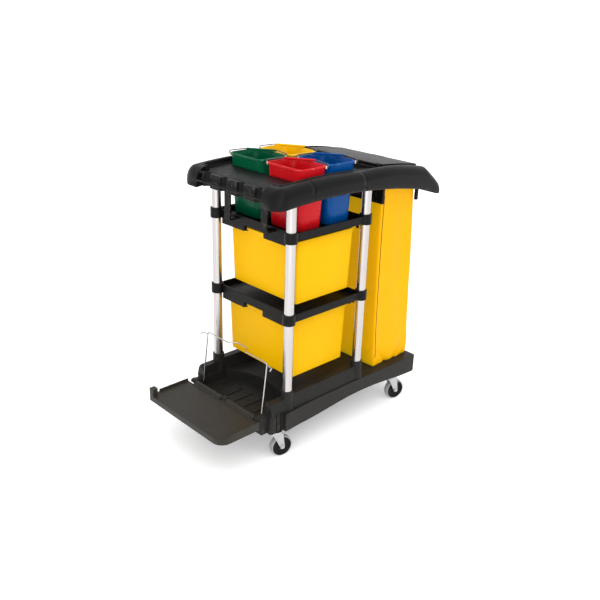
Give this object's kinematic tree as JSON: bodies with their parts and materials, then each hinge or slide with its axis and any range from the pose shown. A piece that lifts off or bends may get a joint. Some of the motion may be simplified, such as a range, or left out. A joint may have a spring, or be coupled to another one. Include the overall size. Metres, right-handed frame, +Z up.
{
  "type": "janitor cart",
  "caption": "Janitor cart on swivel casters with tube posts, hanging bins, lift-out pails in an arched top tray, a lidded waste bag and a fold-up platform",
  "frame": {"origin": "on the floor under the middle of the cart's box", "axes": "+X towards the push handle at the rear, +Y towards the right side, +Z up"},
  "size_m": [1.146, 0.554, 1.1408],
  "materials": {
    "black_plastic": "fine grained moulding",
    "aluminium": "brushed tube",
    "zinc": "bright zinc",
    "tyre": "matt grey",
    "yellow_plastic": "glossy",
    "red_plastic": "glossy",
    "green_plastic": "glossy",
    "blue_plastic": "glossy",
    "cream_plastic": "glossy",
    "yellow_vinyl": "smooth coated vinyl",
    "zip_tape": "woven tape"
  },
  "bodies": {
    "cart": {"deck": "black_plastic", "post_front_left": "aluminium", "post_front_right": "aluminium", "post_rear_left": "aluminium", "post_rear_right": "aluminium", "shelf_middle": "black_plastic", "shelf_upper": "black_plastic", "bin_rails": "black_plastic", "top_tray": "black_plastic", "tool_grips": "black_plastic", "front_brackets": "black_plastic", "bag_frame": "black_plastic", "bag": "yellow_vinyl", "bag_zip": "zip_tape", "lid_rod": "zinc", "platform_rod": "zinc", "kingpin_front_left": "zinc", "kingpin_front_right": "zinc", "kingpin_rear_left": "zinc", "kingpin_rear_right": "zinc"},
    "platform": {"platform": "black_plastic"},
    "bail": {"bail": "zinc"},
    "bin_upper": {"bin_upper": "yellow_plastic"},
    "bin_lower": {"bin_lower": "yellow_plastic"},
    "pail_red": {"pail_red": "red_plastic", "bushes_red": "cream_plastic"},
    "handle_red": {"handle_red": "zinc", "grip_red": "red_plastic"},
    "pail_green": {"pail_green": "green_plastic", "bushes_green": "cream_plastic"},
    "handle_green": {"handle_green": "zinc", "grip_green": "green_plastic"},
    "pail_blue": {"pail_blue": "blue_plastic", "bushes_blue": "cream_plastic"},
    "handle_blue": {"handle_blue": "zinc", "grip_blue": "blue_plastic"},
    "pail_yellow": {"pail_yellow": "yellow_plastic", "bushes_yellow": "cream_plastic"},
    "handle_yellow": {"handle_yellow": "zinc", "grip_yellow": "yellow_plastic"},
    "lid": {"bag_lid": "black_plastic"},
    "caster_front_left": {"fork_front_left": "zinc", "axle_front_left": "zinc"},
    "wheel_front_left": {"wheel_front_left": "black_plastic", "tyre_front_left": "tyre"},
    "caster_front_right": {"fork_front_right": "zinc", "axle_front_right": "zinc"},
    "wheel_front_right": {"wheel_front_right": "black_plastic", "tyre_front_right": "tyre"},
    "caster_rear_left": {"fork_rear_left": "zinc", "axle_rear_left": "zinc"},
    "wheel_rear_left": {"wheel_rear_left": "black_plastic", "tyre_rear_left": "tyre"},
    "caster_rear_right": {"fork_rear_right": "zinc", "axle_rear_right": "zinc"},
    "wheel_rear_right": {"wheel_rear_right": "black_plastic", "tyre_rear_right": "tyre"}
  },
  "joints": [
    {"name": "platform_fold", "type": "hinge", "parent": "cart", "child": "platform", "pos_m": [-0.373, 0, 0.194], "axis": [0, 1, 0], "range_deg": [0, 88]},
    {"name": "bail_swing", "type": "hinge", "parent": "cart", "child": "bail", "pos_m": [-0.338, 0, 0.181], "axis": [0, 1, 0], "range_deg": [-55, 0]},
    {"name": "bin_upper_slide", "type": "slide", "parent": "cart", "child": "bin_upper", "axis": [0, -1, 0], "range_m": [0, 0.3]},
    {"name": "bin_lower_slide", "type": "slide", "parent": "cart", "child": "bin_lower", "axis": [0, -1, 0], "range_m": [0, 0.3]},
    {"name": "pail_red_lift", "type": "slide", "parent": "cart", "child": "pail_red", "axis": [0, 0, 1], "range_m": [0, 0.3]},
    {"name": "handle_red_swing", "type": "hinge", "parent": "pail_red", "child": "handle_red", "pos_m": [-0.1115, -0.1085, 1.1233], "axis": [0.5517, -0.834, 0], "range_deg": [0, 110]},
    {"name": "pail_green_lift", "type": "slide", "parent": "cart", "child": "pail_green", "axis": [0, 0, 1], "range_m": [0, 0.3]},
    {"name": "handle_green_swing", "type": "hinge", "parent": "pail_green", "child": "handle_green", "pos_m": [-0.1115, 0.1085, 1.1233], "axis": [0.5517, -0.834, 0], "range_deg": [0, 110]},
    {"name": "pail_blue_lift", "type": "slide", "parent": "cart", "child": "pail_blue", "axis": [0, 0, 1], "range_m": [0, 0.3]},
    {"name": "handle_blue_swing", "type": "hinge", "parent": "pail_blue", "child": "handle_blue", "pos_m": [0.0435, -0.1085, 1.1233], "axis": [0.5517, -0.834, 0], "range_deg": [0, 110]},
    {"name": "pail_yellow_lift", "type": "slide", "parent": "cart", "child": "pail_yellow", "axis": [0, 0, 1], "range_m": [0, 0.3]},
    {"name": "handle_yellow_swing", "type": "hinge", "parent": "pail_yellow", "child": "handle_yellow", "pos_m": [0.0435, 0.1085, 1.1233], "axis": [0.5517, -0.834, 0], "range_deg": [0, 110]},
    {"name": "lid_open", "type": "hinge", "parent": "cart", "child": "lid", "pos_m": [0.243, 0, 1.09266], "axis": [0, -1, 0], "range_deg": [0, 100]},
    {"name": "swivel_front_left", "type": "hinge", "parent": "cart", "child": "caster_front_left", "pos_m": [-0.29, -0.214, 0.11], "axis": [0, 0, 1], "continuous": true},
    {"name": "spin_front_left", "type": "hinge", "parent": "caster_front_left", "child": "wheel_front_left", "pos_m": [-0.26585, -0.22047, 0.045], "axis": [0.2588, 0.9659, 0], "continuous": true},
    {"name": "swivel_front_right", "type": "hinge", "parent": "cart", "child": "caster_front_right", "pos_m": [-0.29, 0.214, 0.11], "axis": [0, 0, 1], "continuous": true},
    {"name": "spin_front_right", "type": "hinge", "parent": "caster_front_right", "child": "wheel_front_right", "pos_m": [-0.26585, 0.20753, 0.045], "axis": [0.2588, 0.9659, 0], "continuous": true},
    {"name": "swivel_rear_left", "type": "hinge", "parent": "cart", "child": "caster_rear_left", "pos_m": [0.408, -0.214, 0.11], "axis": [0, 0, 1], "continuous": true},
    {"name": "spin_rear_left", "type": "hinge", "parent": "caster_rear_left", "child": "wheel_rear_left", "pos_m": [0.43215, -0.22047, 0.045], "axis": [0.2588, 0.9659, 0], "continuous": true},
    {"name": "swivel_rear_right", "type": "hinge", "parent": "cart", "child": "caster_rear_right", "pos_m": [0.408, 0.214, 0.11], "axis": [0, 0, 1], "continuous": true},
    {"name": "spin_rear_right", "type": "hinge", "parent": "caster_rear_right", "child": "wheel_rear_right", "pos_m": [0.43215, 0.20753, 0.045], "axis": [0.2588, 0.9659, 0], "continuous": true}
  ]
}
